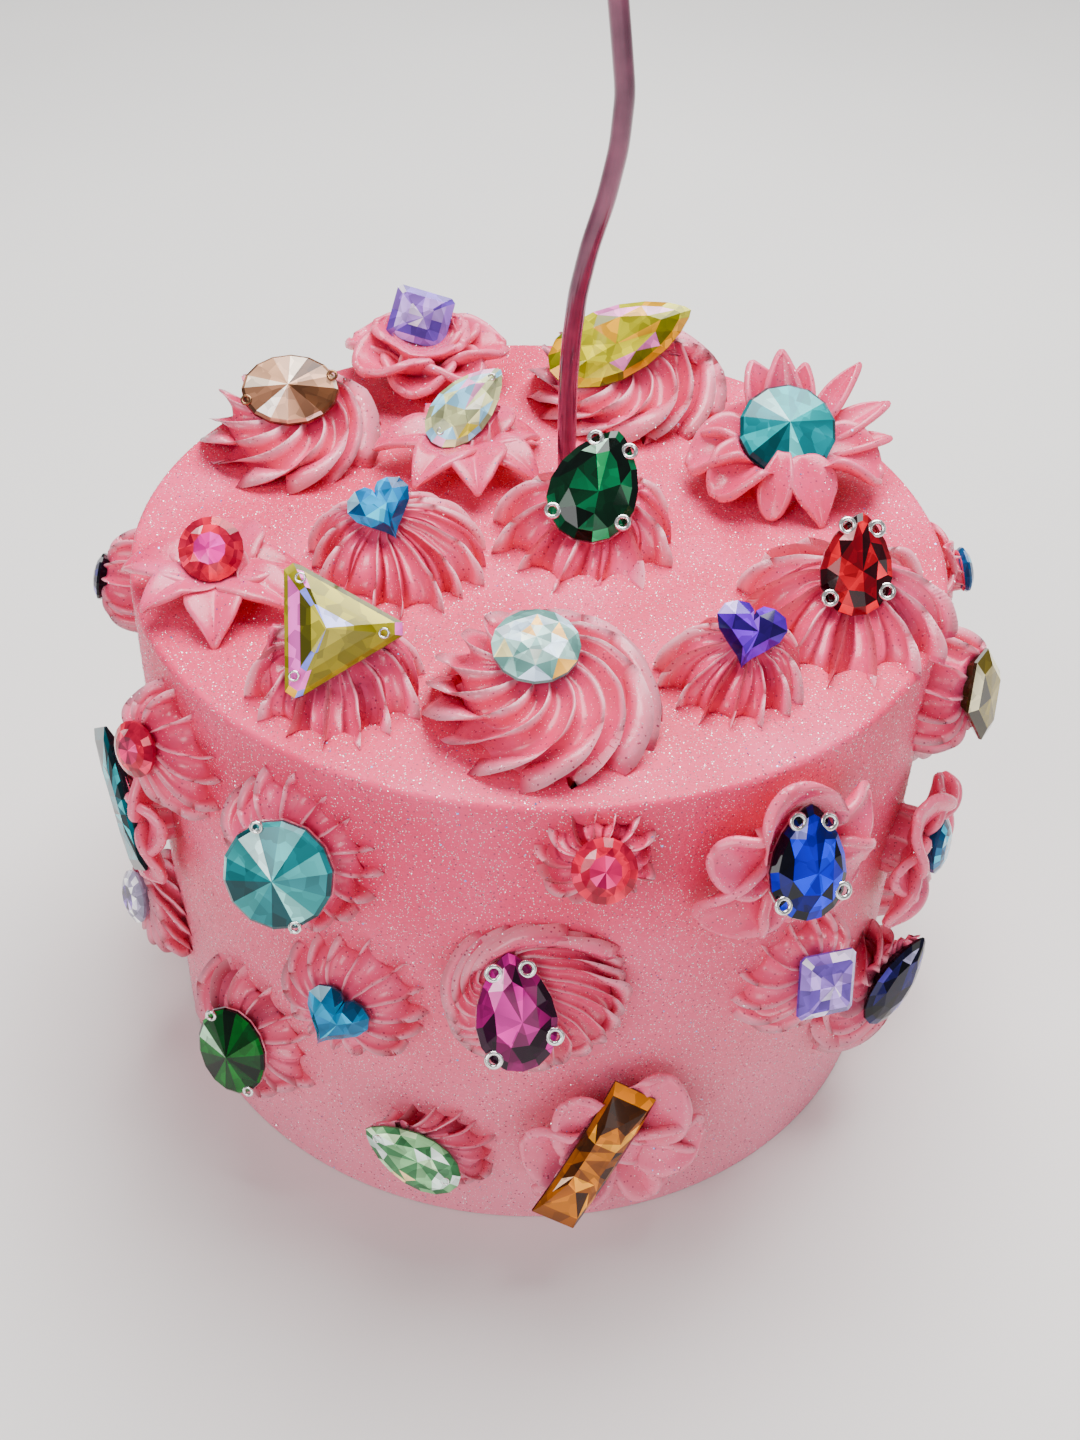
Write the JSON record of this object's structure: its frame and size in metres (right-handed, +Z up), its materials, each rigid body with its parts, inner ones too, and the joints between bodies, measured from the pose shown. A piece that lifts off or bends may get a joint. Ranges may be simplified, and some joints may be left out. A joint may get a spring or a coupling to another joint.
{
  "type": "decorated birthday cake",
  "caption": "Round pink buttercream birthday cake with piped swirls set with faceted plastic stones and one tall wavy candle.",
  "frame": {"origin": "centre of the cake's flat underside", "axes": "+Z up, +X to the right and +Y to the back as seen from the front of the cake"},
  "size_m": [0.1768, 0.1805, 0.2375],
  "materials": {
    "cream": "pink buttercream, satin, with fine silver glitter",
    "candle": "dusty rose wax with a metallic gloss",
    "clear_stone": "clear faceted acrylic with a foil back and a rainbow coat",
    "yellow_stone": "yellow faceted acrylic with a foil back and a rainbow coat",
    "green_stone": "emerald green faceted acrylic with a foil back",
    "teal_stone": "teal faceted acrylic with a foil back",
    "olive_stone": "olive gold faceted acrylic with a foil back",
    "navy_stone": "navy faceted acrylic with a foil back",
    "magenta_stone": "magenta faceted acrylic with a foil back",
    "light_green_stone": "light green faceted acrylic with a foil back and a rainbow coat",
    "amber_stone": "amber faceted acrylic with a foil back"
  },
  "bodies": {
    "root": {"cake": "cream", "candle": "candle", "lavender": "cream", "champagne": "cream", "clear_drop": "cream", "clear_drop_stone": "clear_stone", "yellow_drop": "cream", "yellow_drop_stone": "yellow_stone", "aqua": "cream", "emerald": "cream", "emerald_stone": "green_stone", "heart_blue": "cream", "hot_pink": "cream", "ruby": "cream", "heart_violet": "cream", "triangle": "cream", "triangle_stone": "clear_stone", "clear_round": "cream", "indigo": "cream", "coral": "cream", "teal_bar": "cream", "teal_bar_stone": "teal_stone", "plum": "cream", "teal_round": "cream", "rose": "cream", "sapphire": "cream", "teal_edge": "cream", "olive": "cream", "olive_stone": "olive_stone", "lavender_side": "cream", "navy": "cream", "navy_stone": "navy_stone", "green_oval": "cream", "heart_aqua": "cream", "magenta": "cream", "magenta_stone": "magenta_stone", "light_green": "cream", "light_green_stone": "light_green_stone", "amber_bar": "cream", "amber_bar_stone": "amber_stone", "peeking": "cream", "back_ruby": "cream", "back_gold": "cream", "back_violet": "cream", "back_teal": "cream", "back_amber": "cream", "back_amber_stone": "amber_stone", "back_green": "cream", "back_clear": "cream", "back_blue": "cream", "back_emerald": "cream", "back_lilac": "cream", "back_wine": "cream", "back_lime": "cream", "back_ocean": "cream", "back_orange": "cream"}
  },
  "joints": []
}
